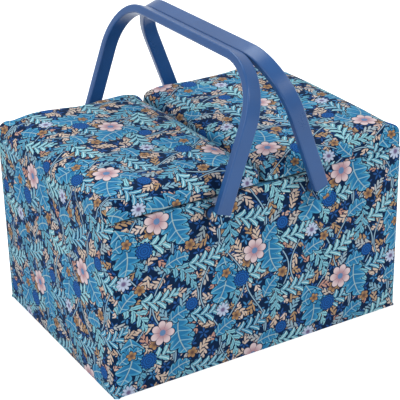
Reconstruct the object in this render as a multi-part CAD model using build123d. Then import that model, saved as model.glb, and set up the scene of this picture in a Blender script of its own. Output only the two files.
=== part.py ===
# Twin-lid sewing box. A board case and two padded lids are wrapped in printed cloth,
# and two moulded carrying handles lean together over the middle.
# Millimetres. +X runs along the box, +Y to its back and +Z up. The origin is the middle
# of the base. Each lid turns on a cloth hinge at its own end of the case, and the two
# free edges meet halfway. Each handle turns on two posts through the long walls.
import os
from math import asin, atan2, cos, degrees, hypot, radians, sin

from build123d import *

os.makedirs("parts", exist_ok=True)

# Case
case_length = 310.0
case_width = 225.0
wall_top = 169.5
case_corner_radius = 7.0
top_edge_rounding = 1.8
bottom_edge_rounding = 1.2

# Cloth, wadding and boards of the case
cloth = 0.8
wadding = 2.2
wall_board = 3.0
base_board_thickness = 4.0
base_cloth_thickness = 1.0
base_cloth_inset = 5.0
hem_width = 14.0

# Lining of the case
liner_thickness = 5.0
liner_edge_rounding = 1.2
floor_liner_thickness = 3.0
ledge_gap = 3.0

# Cloth hinges at the two ends
hinge_half_width = 100.0
hinge_lap = 6.0
hinge_side_gap = 0.1

# Lids
lid_gap = 0.5
centre_gap = 1.2
lid_edge_height = 15.8
lid_crown_along = 1.5
lid_crown_across = 1.5
lid_corner_radius = 8.5
lid_edge_radius = 8.0
lid_bottom_rounding = 1.5
lid_pad_thickness = 4.0
lid_wadding = 1.7
lid_board_thickness = 2.5
lid_rim_thickness = 2.5
lid_lining_thickness = 2.0
lid_lining_gap = 0.2

# Pincushion in the left lid
pincushion_size = 76.0
pincushion_thickness = 12.0
pincushion_corner = 14.0
pincushion_rounding = 5.4

# Pocket in the right lid
pocket_length = 100.0
pocket_width = 170.0
pocket_depth = 6.0
pocket_cloth = 1.0
pocket_corner = 14.0
pocket_rounding = 2.5
elastic_width = 8.0
elastic_thickness = 0.7

# Handles
pivot_x = 52.7
pivot_drop = 13.5
arm_clearance = 10.3
handle_rise = 136.0
handle_corner_radius = 53.5
handle_band = 14.8
handle_thickness = 8.0
handle_edge_rounding = 1.8
handle_touch_gap = 0.6
arm_end = 4.2
tongue_thickness = 3.0
tongue_half_width = 5.5

# Pivot posts, washers and screws
post_radius = 2.5
post_hole_gap = 0.1
post_head_radius = 6.0
post_head_thickness = 1.5
post_end_gap = 0.15
washer_radius = 7.0
washer_thickness = 0.8
washer_gap = 0.2
screw_radius = 1.5
screw_hole_gap = 0.05
screw_depth = 12.0
screw_head_radius = 3.8
screw_head_thickness = 1.6

# Covered end caps of the handles
cap_proud = 0.2
cap_half_width = 7.7
cap_drop = 8.2
cap_corner = 5.0
cap_edge_rounding = 1.5
cap_wrap = 0.4
cap_pocket_gap = 0.1
cap_head_gap = 0.7

# Tray
tray_depth = 43.0
tray_flange_thickness = 1.6
tray_end_gap = 1.2
tray_post_gap = 0.8
tray_body_gap = 1.2
tray_wall = 1.5
tray_draft = 1.0
tray_corner = 6.0
tray_cell_corner = 5.0
tray_back_cells = 3
tray_back_share = 0.45
tray_front_share = 0.62

# Worked out: planes and faces of the case
half_length = case_length / 2
half_width = case_width / 2
board_half_x = half_length - cloth - wadding
board_half_y = half_width - cloth - wadding
inside_half_x = board_half_x - wall_board
inside_half_y = board_half_y - wall_board
lip_half_x = inside_half_x - cloth
lip_half_y = inside_half_y - cloth
liner_half_x = inside_half_x - liner_thickness
liner_half_y = inside_half_y - liner_thickness
pivot_z = wall_top - pivot_drop
ledge_height = pivot_z - post_head_radius - ledge_gap
board_bottom = base_cloth_thickness + cloth
board_top = wall_top - cloth
floor_height = board_bottom + base_board_thickness

# Worked out: planes and faces of the lids
lid_bottom = wall_top + lid_gap
lid_half_x = (half_length - centre_gap / 2) / 2
lid_middle_x = half_length - lid_half_x
lid_peak = lid_bottom + lid_edge_height + lid_crown_along + lid_crown_across
lid_board_inset = cloth + lid_wadding
lid_inside_inset = lid_board_inset + lid_rim_thickness
lid_lip_inset = lid_inside_inset + cloth
lid_board_top = lid_bottom + lid_edge_height - cloth - lid_pad_thickness
lid_board_bottom = lid_board_top - lid_board_thickness
lid_lining_bottom = lid_board_bottom - lid_lining_thickness

# Worked out: the handle pivots and the lean at which the two handles meet
post_hole_radius = post_radius + post_hole_gap
arm_inner_y = half_width + arm_clearance
handle_half_span = arm_inner_y + handle_thickness
tongue_outer_y = arm_inner_y + tongue_thickness
post_end_y = tongue_outer_y + post_end_gap
post_head_y = lip_half_y - post_head_thickness
boss_start_y = half_width + washer_thickness + washer_gap
touch_rise = handle_rise - handle_edge_rounding
touch_side = handle_band / 2 - handle_edge_rounding
touch_reach = pivot_x - handle_edge_rounding - handle_touch_gap / 2
touch_arm = hypot(touch_rise, touch_side)
handle_lean = degrees(asin(touch_reach / touch_arm) - atan2(touch_side, touch_rise))


def block(x_low, x_high, y_low, y_high, z_low, z_high):
    """Square-edged block between six faces."""
    size = (x_high - x_low, y_high - y_low, z_high - z_low)
    middle = Pos((x_low + x_high) / 2, (y_low + y_high) / 2, (z_low + z_high) / 2)
    return middle * Box(*size)


def rounded_prism(half_x, half_y, radius, z_low, z_high, x_middle=0.0):
    """Upright prism with rounded corners, centred on y = 0."""
    outline = RectangleRounded(2 * half_x, 2 * half_y, radius)
    return extrude(Plane.XY.offset(z_low) * Pos(x_middle, 0) * outline, amount=z_high - z_low)


def pivot_rod(side_x, side_y, radius, y_start, y_end):
    """Round bar on one handle pivot, between two distances from the middle plane."""
    place = Pos(side_x * pivot_x, side_y * (y_start + y_end) / 2, pivot_z)
    return place * Rot(90, 0, 0) * Cylinder(radius, y_end - y_start)


def pivot_holes(side_y):
    """The two holes through one long wall."""
    holes = [pivot_rod(side, side_y, post_hole_radius, 0, case_width) for side in (-1, 1)]
    return holes[0] + holes[1]


def edges_above(solid, height):
    """Edges whose middle lies above a height."""
    return solid.edges().filter_by(lambda edge: edge.center().Z > height)


def edges_below(solid, height):
    """Edges whose middle lies below a height."""
    return solid.edges().filter_by(lambda edge: edge.center().Z < height)


def save(shape, name):
    export_step(shape, f"parts/{name}.step")


# Case boards: the long walls run the full length and the end walls stand between them
def long_board(side_y):
    near, far = sorted((side_y * inside_half_y, side_y * board_half_y))
    board = block(-board_half_x, board_half_x, near, far, board_bottom, board_top)
    return board - pivot_holes(side_y)


def end_board(side_x):
    near, far = sorted((side_x * inside_half_x, side_x * board_half_x))
    return block(near, far, -inside_half_y, inside_half_y, board_bottom, board_top)


base_board = block(
    -inside_half_x, inside_half_x, -inside_half_y, inside_half_y, board_bottom, floor_height
)

# Wadding between the boards and the printed cloth
body_core = rounded_prism(
    half_length - cloth, half_width - cloth, case_corner_radius - cloth, board_bottom, board_top
)
board_room = block(
    -board_half_x, board_half_x, -board_half_y, board_half_y, board_bottom, board_top
)
body_wadding = body_core - board_room - pivot_holes(-1) - pivot_holes(1)


# Printed cloth of the case: over the walls, down inside to the tray ledge, and under the
# base as a hem. It is cut away at each end where the cloth hinge takes its place.
def hinge_notch(side_x, z_low, z_high):
    near, far = sorted((side_x * (half_length - cloth), side_x * (half_length + cloth)))
    return block(near, far, -hinge_half_width, hinge_half_width, z_low, z_high)


def make_body_cover():
    wrap = rounded_prism(
        half_length, half_width, case_corner_radius, base_cloth_thickness, wall_top
    )
    wrap = fillet(edges_above(wrap, wall_top - cloth), top_edge_rounding)
    wrap = fillet(edges_below(wrap, base_cloth_thickness + cloth), bottom_edge_rounding)
    lip = block(
        -inside_half_x, inside_half_x, -inside_half_y, inside_half_y, ledge_height, board_top
    )
    mouth = block(
        -lip_half_x, lip_half_x, -lip_half_y, lip_half_y, ledge_height, wall_top + cloth
    )
    hem_x, hem_y = half_length - hem_width, half_width - hem_width
    hem_hole = block(-hem_x, hem_x, -hem_y, hem_y, 0, board_bottom)
    cover = wrap - body_core + lip - mouth - hem_hole
    for side in (-1, 1):
        cover -= pivot_holes(side)
        cover -= hinge_notch(side, wall_top - hinge_lap, wall_top + cloth)
    return cover


base_cloth = rounded_prism(
    half_length - base_cloth_inset,
    half_width - base_cloth_inset,
    case_corner_radius,
    0,
    base_cloth_thickness,
)


# Padded lining panels. Their top edges are the ledge that the tray sits on.
def long_liner(side_y):
    near, far = sorted((side_y * liner_half_y, side_y * inside_half_y))
    panel = block(-inside_half_x, inside_half_x, near, far, floor_height, ledge_height)
    inner = panel.edges().filter_by(Axis.X).filter_by(
        lambda edge: abs(edge.center().Y) < liner_half_y + liner_edge_rounding
        and edge.center().Z > floor_height + liner_edge_rounding
    )
    return fillet(inner, liner_edge_rounding)


def end_liner(side_x):
    near, far = sorted((side_x * liner_half_x, side_x * inside_half_x))
    panel = block(near, far, -liner_half_y, liner_half_y, floor_height, ledge_height)
    inner = panel.edges().filter_by(Axis.Y).filter_by(
        lambda edge: abs(edge.center().X) < liner_half_x + liner_edge_rounding
        and edge.center().Z > floor_height + liner_edge_rounding
    )
    return fillet(inner, liner_edge_rounding)


floor_liner = block(
    -liner_half_x,
    liner_half_x,
    -liner_half_y,
    liner_half_y,
    floor_height,
    floor_height + floor_liner_thickness,
)


# Cloth hinge: one strip over each end, half on the case and half on the lid
def hinge_cloth(side_x):
    near, far = sorted((side_x * (half_length - cloth), side_x * half_length))
    reach = hinge_half_width - hinge_side_gap
    low = wall_top - hinge_lap + hinge_side_gap
    high = lid_bottom + hinge_lap - hinge_side_gap
    return block(near, far, -reach, reach, low, high)


# Lid shape, drawn in by inset on every face: straight sides, rounded edges, crowned top
def lid_form(inset, side_x):
    half_x = lid_half_x - inset
    half_y = half_width - inset
    low = lid_bottom + inset
    peak = lid_peak - inset
    middle = side_x * lid_middle_x
    along = (lid_half_x**2 + lid_crown_along**2) / (2 * lid_crown_along)
    across = (half_width**2 + lid_crown_across**2) / (2 * lid_crown_across)
    reach = half_x + lid_edge_radius
    fall = along - inset - (((along - inset) ** 2) - reach**2) ** 0.5
    left, right = middle - reach, middle + reach
    root = low - lid_edge_height
    section = make_face(
        Plane.XZ
        * (
            ThreePointArc((left, peak - fall), (middle, peak), (right, peak - fall))
            + Polyline((right, peak - fall), (right, root), (left, root), (left, peak - fall))
        )
    )
    swing = degrees(asin((half_y + lid_edge_radius) / (across - inset)))
    spine = Axis((middle, 0, lid_peak - across), (1, 0, 0))
    dome = revolve(section.rotate(spine, -swing), axis=spine, revolution_arc=2 * swing)
    prism = rounded_prism(half_x, half_y, lid_corner_radius - inset, low, lid_peak, middle)
    form = prism & dome
    top_edge = lid_bottom + lid_edge_height - inset
    return fillet(edges_above(form, top_edge - lid_crown_across), lid_edge_radius - inset)


def lid_prism(inset, side_x, z_low, z_high):
    """Upright prism of the lid's outline, drawn in by inset."""
    radius = max(lid_corner_radius - inset, cloth)
    middle = side_x * lid_middle_x
    return rounded_prism(
        lid_half_x - inset, half_width - inset, radius, z_low, z_high, middle
    )


def make_lid(side_x, name):
    filling = lid_form(cloth, side_x)
    above_board = lid_prism(0, side_x, lid_board_top, lid_peak)
    board = lid_prism(lid_board_inset, side_x, lid_board_bottom, lid_board_top)
    rim = lid_prism(lid_board_inset, side_x, lid_bottom + cloth, lid_board_bottom)
    rim -= lid_prism(lid_inside_inset, side_x, lid_bottom + cloth, lid_board_bottom)
    wadding_strip = filling - above_board
    wadding_strip -= lid_prism(lid_board_inset, side_x, lid_bottom, lid_board_top)
    lining = lid_prism(
        lid_lip_inset + lid_lining_gap, side_x, lid_lining_bottom, lid_board_bottom
    )
    wrap = lid_form(0, side_x)
    wrap = fillet(edges_below(wrap, lid_bottom + cloth), lid_bottom_rounding)
    lip = lid_prism(lid_inside_inset, side_x, lid_bottom, lid_lining_bottom)
    opening = lid_prism(lid_lip_inset, side_x, lid_bottom, lid_lining_bottom)
    cover = wrap - filling + lip - opening
    cover -= hinge_notch(side_x, lid_bottom, lid_bottom + hinge_lap)
    save(filling & above_board, f"{name}_lid_pad")
    save(wadding_strip, f"{name}_lid_wadding")
    save(board, f"{name}_lid_board")
    save(rim, f"{name}_lid_rim")
    save(lining, f"{name}_lid_lining")
    save(cover, f"{name}_lid_cover")


# Pincushion: a stuffed square under the left lid, full at the edges and sewn at its rim
def make_pincushion():
    half = pincushion_size / 2
    pad = rounded_prism(
        half,
        half,
        pincushion_corner,
        lid_lining_bottom - pincushion_thickness,
        lid_lining_bottom,
        -lid_middle_x,
    )
    rims = edges_above(pad, lid_lining_bottom - cloth)
    rims += edges_below(pad, lid_lining_bottom - pincushion_thickness + cloth)
    return fillet(rims, pincushion_rounding)


# Pocket under the right lid, sewn down on three sides and open towards the lid's free edge
def make_pocket():
    low = lid_lining_bottom - pocket_depth
    half_x, half_y = pocket_length / 2, pocket_width / 2
    bag = rounded_prism(half_x, half_y, pocket_corner, low, lid_lining_bottom, lid_middle_x)
    bag = fillet(edges_below(bag, low + pocket_cloth), pocket_rounding)
    room = rounded_prism(
        half_x - pocket_cloth,
        half_y - pocket_cloth,
        pocket_corner - pocket_cloth,
        low + pocket_cloth,
        lid_lining_bottom,
        lid_middle_x,
    )
    mouth_x = lid_middle_x - half_x
    trim = block(mouth_x, mouth_x + pocket_corner, -half_y, half_y, low, lid_lining_bottom)
    return bag - room - trim


def make_pocket_elastic():
    mouth_x = lid_middle_x - pocket_length / 2 + pocket_corner
    low = lid_lining_bottom - pocket_depth
    reach = pocket_width / 2 - pocket_rounding
    return block(
        mouth_x, mouth_x + elastic_width, -reach, reach, low - elastic_thickness, low
    )


# Handle, drawn upright with its pivots on the Y axis and then leant to the middle
def handle_place(side_x):
    return Pos(side_x * pivot_x, 0, pivot_z) * Rot(0, -side_x * handle_lean, 0)


def local_rod(side_y, radius, y_start, y_end):
    """Round bar on the handle's own pivot axis."""
    return Pos(0, side_y * (y_start + y_end) / 2, 0) * Rot(90, 0, 0) * Cylinder(radius, y_end - y_start)


def loop_outline(inset):
    """Rounded rectangle about the pivots, drawn in by inset."""
    return RectangleRounded(
        2 * (handle_half_span - inset), 2 * (handle_rise - inset), handle_corner_radius - inset
    )


def make_handle(side_x):
    band = Plane.YZ * (loop_outline(0) - loop_outline(handle_thickness))
    hoop = extrude(band, amount=handle_band / 2, both=True)
    span = handle_half_span + handle_band
    hoop -= block(-handle_band, handle_band, -span, span, -span - handle_rise, arm_end)
    handle = fillet(edges_above(hoop, arm_end + cap_proud), handle_edge_rounding)
    for side_y in (-1, 1):
        near, far = sorted((side_y * arm_inner_y, side_y * tongue_outer_y))
        handle += block(-tongue_half_width, tongue_half_width, near, far, 0, arm_end)
        handle += local_rod(side_y, tongue_half_width, boss_start_y, tongue_outer_y)
        handle -= local_rod(side_y, post_hole_radius, 0, handle_half_span)
    return handle_place(side_x) * handle


# End cap: a padded, cloth-covered block that hides one pivot and finishes the arm
def make_end_cap(side_x, side_y):
    height = arm_end + cap_drop
    face = Rectangle(2 * cap_half_width, height)
    face = fillet(face.vertices().group_by(Axis.Y)[0], cap_corner)
    back_y = arm_inner_y - cap_wrap
    front_y = handle_half_span + cap_proud
    plane = Plane(origin=(0, -back_y, arm_end - height / 2), x_dir=(1, 0, 0), z_dir=(0, -1, 0))
    cap = extrude(plane * face, amount=front_y - back_y)
    outer = cap.edges().filter_by(lambda edge: edge.center().Y < -front_y + cap_proud)
    cap = fillet(outer.sort_by(Axis.Z)[:-1], cap_edge_rounding)
    room = tongue_half_width + cap_pocket_gap
    pocket_y = tongue_outer_y + cap_pocket_gap
    cap -= block(-room, room, -pocket_y, -back_y, 0, arm_end)
    cap -= local_rod(-1, room, back_y, pocket_y)
    head_room = screw_head_radius + cap_head_gap
    cap -= local_rod(-1, head_room, back_y, post_end_y + screw_head_thickness + cap_head_gap)
    if side_y > 0:
        cap = mirror(cap, Plane.XZ)
    return handle_place(side_x) * cap


# Posts through the walls, with a flat head inside, a washer outside and a screw at the tip
def all_pivots(make):
    solids = [make(side_x, side_y) for side_x in (-1, 1) for side_y in (-1, 1)]
    return Compound(children=solids)


def make_post(side_x, side_y):
    post = pivot_rod(side_x, side_y, post_head_radius, post_head_y, lip_half_y)
    post += pivot_rod(side_x, side_y, post_radius, lip_half_y, post_end_y)
    bore = screw_radius + screw_hole_gap
    return post - pivot_rod(side_x, side_y, bore, post_end_y - screw_depth, post_end_y)


def make_washer(side_x, side_y):
    outer_y = half_width + washer_thickness
    ring = pivot_rod(side_x, side_y, washer_radius, half_width, outer_y)
    return ring - pivot_rod(side_x, side_y, post_hole_radius, half_width, outer_y)


def make_screw(side_x, side_y):
    head_top = post_end_y + screw_head_thickness
    shank_start = post_end_y - screw_depth + screw_hole_gap
    screw = pivot_rod(side_x, side_y, screw_radius, shank_start, post_end_y)
    return screw + pivot_rod(side_x, side_y, screw_head_radius, post_end_y, head_top)


# Tray: one thin moulding with a flange that hangs on the ledge
def make_tray():
    flange_x = lip_half_x - tray_end_gap
    flange_y = post_head_y - tray_post_gap
    rim_top = ledge_height + tray_flange_thickness
    body_x = liner_half_x - tray_body_gap
    body_y = liner_half_y - tray_body_gap
    flange = rounded_prism(flange_x, flange_y, tray_corner, ledge_height, rim_top)
    shell = Plane.XY.offset(ledge_height) * RectangleRounded(2 * body_x, 2 * body_y, tray_corner)
    tray = flange + extrude(shell, amount=-tray_depth, taper=tray_draft)
    cell_depth = tray_depth + tray_flange_thickness - tray_wall
    room_x, room_y = 2 * (body_x - tray_wall), 2 * (body_y - tray_wall)
    back_y = (room_y - tray_wall) * tray_back_share
    front_y = room_y - tray_wall - back_y
    back_x = (room_x - (tray_back_cells - 1) * tray_wall) / tray_back_cells
    cells = []
    for number in range(tray_back_cells):
        x_middle = -room_x / 2 + back_x / 2 + number * (back_x + tray_wall)
        cells.append((x_middle, room_y / 2 - back_y / 2, back_x, back_y))
    long_x = (room_x - tray_wall) * tray_front_share
    short_x = room_x - tray_wall - long_x
    cells.append((-room_x / 2 + long_x / 2, -room_y / 2 + front_y / 2, long_x, front_y))
    cells.append((room_x / 2 - short_x / 2, -room_y / 2 + front_y / 2, short_x, front_y))
    for x_middle, y_middle, size_x, size_y in cells:
        mouth = RectangleRounded(size_x, size_y, tray_cell_corner)
        mouth = Plane.XY.offset(rim_top) * Pos(x_middle, y_middle) * mouth
        tray -= extrude(mouth, amount=-cell_depth, taper=tray_draft)
        print("tray cell", [round(value, 2) for value in (x_middle, y_middle, size_x, size_y)])
    return tray


save(long_board(-1), "front_board")
save(long_board(1), "back_board")
save(end_board(-1), "left_end_board")
save(end_board(1), "right_end_board")
save(base_board, "base_board")
save(body_wadding, "body_wadding")
save(make_body_cover(), "body_cover")
save(base_cloth, "base_cloth")
save(long_liner(-1), "front_liner")
save(long_liner(1), "back_liner")
save(end_liner(-1), "left_end_liner")
save(end_liner(1), "right_end_liner")
save(floor_liner, "floor_liner")
save(hinge_cloth(-1), "left_hinge_cloth")
save(hinge_cloth(1), "right_hinge_cloth")
make_lid(-1, "left")
make_lid(1, "right")
save(make_pincushion(), "left_lid_pincushion")
save(make_pocket(), "right_lid_pocket")
save(make_pocket_elastic(), "right_lid_pocket_elastic")
save(make_handle(-1), "left_handle")
save(make_handle(1), "right_handle")
for side_x, side_name in ((-1, "left"), (1, "right")):
    save(make_end_cap(side_x, -1), f"{side_name}_handle_front_cap")
    save(make_end_cap(side_x, 1), f"{side_name}_handle_back_cap")
save(all_pivots(make_post), "pivot_posts")
save(all_pivots(make_washer), "pivot_washers")
save(all_pivots(make_screw), "pivot_screws")
save(make_tray(), "tray")

# How far each handle swings down before the insides of its corners meet the case's corners
def swing_stop(turn):
    """Swing at which one place on the inside of a handle's corner reaches the case."""
    inner_radius = handle_corner_radius - handle_thickness
    across = handle_half_span - handle_corner_radius + inner_radius * sin(turn)
    along = handle_rise - handle_corner_radius + inner_radius * cos(turn)
    past_round = max(across - half_width + case_corner_radius, 0)
    if past_round > case_corner_radius:
        return 180.0
    end_x = half_length - case_corner_radius + (case_corner_radius**2 - past_round**2) ** 0.5
    reach = hypot(along, handle_band / 2)
    if reach < end_x - pivot_x:
        return 180.0
    hanging = asin((end_x - pivot_x) / reach) + asin(handle_band / 2 / reach)
    return handle_lean + 180 - degrees(hanging)


stop = min(swing_stop(radians(turn)) for turn in range(91))
print("handle lean", round(handle_lean, 2), "swing to the case's corners", round(stop, 2))
print("handle top", round(pivot_z + handle_rise * cos(radians(handle_lean)), 1))
print("crossbar middle x", round(pivot_x - handle_rise * sin(radians(handle_lean)), 2))
print("lid peak", lid_peak, "lid lining bottom", lid_lining_bottom)
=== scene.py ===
# %% [markdown]
# A twin-lid sewing box, dressed for its picture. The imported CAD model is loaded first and
# stays where it is: it says where every board, lid and handle goes. Then each soft or
# covered part gets its own mesh over the CAD solid it stands for, and every other node
# keeps its shape and gets a finish. Lengths are metres, +X along the box, +Y to its back.

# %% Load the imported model
import math

import bmesh
import bpy
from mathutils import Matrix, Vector


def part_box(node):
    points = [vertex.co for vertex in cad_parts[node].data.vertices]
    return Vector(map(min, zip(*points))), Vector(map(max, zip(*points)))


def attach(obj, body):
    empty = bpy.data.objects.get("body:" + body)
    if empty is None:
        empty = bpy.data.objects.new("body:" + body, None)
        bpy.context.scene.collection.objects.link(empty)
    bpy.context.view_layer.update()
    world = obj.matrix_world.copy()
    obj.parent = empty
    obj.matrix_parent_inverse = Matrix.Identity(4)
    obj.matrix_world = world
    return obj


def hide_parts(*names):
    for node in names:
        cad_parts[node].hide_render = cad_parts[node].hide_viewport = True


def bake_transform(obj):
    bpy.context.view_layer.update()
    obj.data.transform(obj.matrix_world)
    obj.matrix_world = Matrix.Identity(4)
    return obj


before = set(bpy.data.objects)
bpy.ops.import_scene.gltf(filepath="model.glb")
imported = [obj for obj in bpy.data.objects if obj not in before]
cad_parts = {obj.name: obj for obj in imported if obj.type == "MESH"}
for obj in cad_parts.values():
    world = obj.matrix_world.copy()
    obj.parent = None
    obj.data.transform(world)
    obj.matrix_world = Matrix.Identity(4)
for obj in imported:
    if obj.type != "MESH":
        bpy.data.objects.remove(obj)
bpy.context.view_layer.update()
scene = bpy.context.scene
print("nodes in the frame:", len(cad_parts))

# %% [markdown]
# The camera is set by numbers found from the box's own corners: the box is a known block,
# so its eight corners in the photograph give the distance, the angle and the lens. The
# slight roll comes from the same fit. Turning it by hand would never settle as well.

# %% Camera
SENSOR = 36.0
AZIMUTH, ELEVATION, ROLL = math.radians(-30.51), math.radians(25.01), math.radians(-1.198)
AIM = Vector((0.0019, 0.0, 0.1097))
DISTANCE = 1.275
LENS = 1326.5 / 400 * SENSOR

back = Vector((
    math.sin(AZIMUTH) * math.cos(ELEVATION),
    -math.cos(AZIMUTH) * math.cos(ELEVATION),
    math.sin(ELEVATION),
))
right = Vector((math.cos(AZIMUTH), math.sin(AZIMUTH), 0.0))
up = back.cross(right)
rolled_right = right * math.cos(ROLL) + up * math.sin(ROLL)
rolled_up = up * math.cos(ROLL) - right * math.sin(ROLL)

camera_data = bpy.data.cameras.new("camera")
camera_data.sensor_width, camera_data.lens = SENSOR, LENS
camera = bpy.data.objects.new("camera", camera_data)
scene.collection.objects.link(camera)
scene.camera = camera
place = camera.matrix_world.to_3x3()
for axis, column in enumerate((rolled_right, rolled_up, back)):
    for row in range(3):
        place[row][axis] = column[row]
camera.matrix_world = place.to_4x4()
camera.location = AIM + back * DISTANCE
camera_data.clip_start, camera_data.clip_end = 0.05, 30.0
print("camera at", [round(value, 3) for value in camera.location], "lens", round(LENS, 1))

# %% [markdown]
# The photograph is a catalogue picture on white. The floor is a real pale surface that
# keeps the soft shadow, and only the camera and reflections see the extra white, so it
# never adds light to the box.

# %% Floor, world and lamps
scene.view_settings.view_transform = "Standard"


def add_node(tree, kind, *inputs, **settings):
    """A new shader node with its settings; inputs go in order, and None leaves one alone."""
    node = tree.nodes.new(kind)
    for name, value in settings.items():
        setattr(node, name, value)
    for place, value in enumerate(inputs):
        if isinstance(value, bpy.types.NodeSocket):
            tree.links.new(value, node.inputs[place])
        elif value is not None:
            node.inputs[place].default_value = value
    return node


def shader_tree(name):
    """A new material with an empty node tree, and its output."""
    material = bpy.data.materials.new(name)
    material.use_nodes = True
    tree = material.node_tree
    tree.nodes.clear()
    return material, tree, add_node(tree, "ShaderNodeOutputMaterial")


def seen_directly(tree):
    """1 for rays from the camera, from gloss and through glass, and 0 for others."""
    path = add_node(tree, "ShaderNodeLightPath")
    total = path.outputs["Is Camera Ray"]
    for name in ("Is Glossy Ray", "Is Transmission Ray"):
        higher = add_node(tree, "ShaderNodeMath", total, path.outputs[name], operation="MAXIMUM")
        total = higher.outputs[0]
    return total


def make_floor_finish():
    material, tree, output = shader_tree("pale_floor")
    paint = add_node(tree, "ShaderNodeBsdfDiffuse", (0.86, 0.87, 0.88, 1))
    share = add_node(tree, "ShaderNodeMath", seen_directly(tree), 0.7, operation="MULTIPLY")
    glow = add_node(tree, "ShaderNodeEmission", None, share.outputs[0])
    both = add_node(tree, "ShaderNodeAddShader", paint.outputs[0], glow.outputs[0])
    tree.links.new(both.outputs[0], output.inputs["Surface"])
    return material


def nothing_selected():
    if bpy.context.object and bpy.context.object.mode != "OBJECT":
        bpy.ops.object.mode_set(mode="OBJECT")
    bpy.ops.object.select_all(action="DESELECT")


nothing_selected()
bpy.ops.mesh.primitive_plane_add(size=14.0, location=(0, 0, 0))
floor = bpy.context.object
floor.name = "floor"
floor.data.materials.append(make_floor_finish())

world = bpy.data.worlds.new("studio")
scene.world = world
world.use_nodes = True
sky = world.node_tree
sky.nodes.clear()
sky_level = add_node(sky, "ShaderNodeMapRange", seen_directly(sky), 0.0, 1.0, 0.42, 1.0)
sky_light = add_node(sky, "ShaderNodeBackground", (0.97, 0.98, 1.0, 1), sky_level.outputs[0])
add_node(sky, "ShaderNodeOutputWorld", sky_light.outputs[0])

LAMP_AIM = Vector((0, 0, 0.1))


def area_lamp(name, place, size, power, tint=(1, 1, 1)):
    data = bpy.data.lights.new(name, "AREA")
    data.shape, data.size, data.energy, data.color = "SQUARE", size, power, tint
    lamp = bpy.data.objects.new(name, data)
    scene.collection.objects.link(lamp)
    lamp.location = place
    lamp.rotation_euler = (LAMP_AIM - Vector(place)).to_track_quat("-Z", "Y").to_euler()


area_lamp("key", (0.9, -1.5, 1.5), 0.7, 19.0)
area_lamp("left_fill", (-1.7, -0.5, 0.9), 1.4, 17.0)
area_lamp("top", (0.0, 0.8, 1.85), 1.2, 19.0, tint=(0.93, 0.99, 1.0))

# %% [markdown]
# The printed cotton is the look of this box. It could be painted as a picture, but a
# pattern of nodes stays sharp at any distance and comes from no file. The cloth is drawn
# as a printer would lay it out: small motifs first, larger ones over them, each motif a
# shape in its own cell of a half-drop repeat. Every motif is a sum of Math nodes, so a
# little class that turns plus and times into nodes keeps the drawing readable.

# %% Numbers that vary over the cloth
TURN = 2 * math.pi


def linear(code):
    """Colour from a six-digit code, as the linear numbers that a shader takes."""
    parts = [int(code[k:k + 2], 16) / 255 for k in (0, 2, 4)]
    return (*[p / 12.92 if p <= 0.04045 else ((p + 0.055) / 1.055) ** 2.4 for p in parts], 1.0)


class Field:
    """A number that varies over a surface: one node's output, ready for more sums."""

    def __init__(self, tree, socket):
        self.tree, self.socket = tree, socket

    def step(self, operation, *others, clamp=False):
        inputs = [item.socket if isinstance(item, Field) else item for item in (self, *others)]
        node = add_node(
            self.tree, "ShaderNodeMath", *inputs, operation=operation, use_clamp=clamp
        )
        return Field(self.tree, node.outputs[0])

    def clamped(self):
        return self.step("ADD", 0.0, clamp=True)

    def ramp(self, low, high):
        """0 below low, 1 above high, smooth between them."""
        node = add_node(
            self.tree, "ShaderNodeMapRange", self.socket, low, high,
            interpolation_type="SMOOTHSTEP",
        )
        return Field(self.tree, node.outputs["Result"])


# each sign or word below stands for the Math node of that kind
for sign, operation in {
    "__add__": "ADD", "__sub__": "SUBTRACT", "__mul__": "MULTIPLY", "__truediv__": "DIVIDE",
    "__pow__": "POWER", "__abs__": "ABSOLUTE", "floor": "FLOOR", "fract": "FRACT",
    "sin": "SINE", "cos": "COSINE", "min": "MINIMUM", "max": "MAXIMUM",
    "above": "GREATER_THAN", "times_plus": "MULTIPLY_ADD", "direction_from": "ARCTAN2",
}.items():
    setattr(Field, sign, lambda self, *others, operation=operation: self.step(operation, *others))


def hypot(x, y):
    return (x * x + y * y) ** 0.5


def joined(x, y, depth=0.0):
    """Two fields and a number as one vector socket."""
    return add_node(x.tree, "ShaderNodeCombineXYZ", x.socket, y.socket, depth).outputs[0]


def parted(tree, socket, count=2):
    """The first numbers of a vector socket, as fields."""
    node = add_node(tree, "ShaderNodeSeparateXYZ", socket)
    return [Field(tree, node.outputs[k]) for k in range(count)]


def scaled(tree, socket, factor):
    """The first two numbers of a vector socket, times a factor."""
    node = add_node(tree, "ShaderNodeVectorMath", socket, None, None, factor, operation="SCALE")
    return parted(tree, node.outputs[0])


def turned(x, y, angle):
    """The same place, read in axes turned by an angle."""
    spin = add_node(
        x.tree, "ShaderNodeVectorRotate", joined(x, y), None, None, angle.socket,
        rotation_type="Z_AXIS",
    )
    return parted(x.tree, spin.outputs[0])


def lattice(x, y, width, height, shift_x=0.0, shift_y=0.0):
    """Half-drop repeat: the place within a cell, from its middle, and two dice per cell."""
    across = x.times_plus(1 / width, shift_x / width)
    column = across.floor()
    rise = y.times_plus(1 / height, shift_y / height) + (column * 0.5).fract()
    row = rise.floor()
    seed = width + 3 * height + shift_x + 7 * shift_y
    dice = add_node(x.tree, "ShaderNodeTexWhiteNoise", joined(column, row, seed))
    split = add_node(x.tree, "ShaderNodeSeparateColor", dice.outputs["Color"])
    throws = [Field(x.tree, split.outputs[k]) for k in range(2)]
    return (across - column - 0.5) * width, (rise - row - 0.5) * height, throws


def mixed(tree, share, under, over):
    """Colour over laid on colour under, where share is 1."""
    colours = [linear(tone) if isinstance(tone, str) else tone for tone in (under, over)]
    # this node's colours are its inputs 6 and 7, and its mixed colour is output 2
    node = add_node(
        tree, "ShaderNodeMix", share.socket, *[None] * 5, *colours, data_type="RGBA"
    )
    return node.outputs[2]


print("drawing tools ready")

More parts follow.
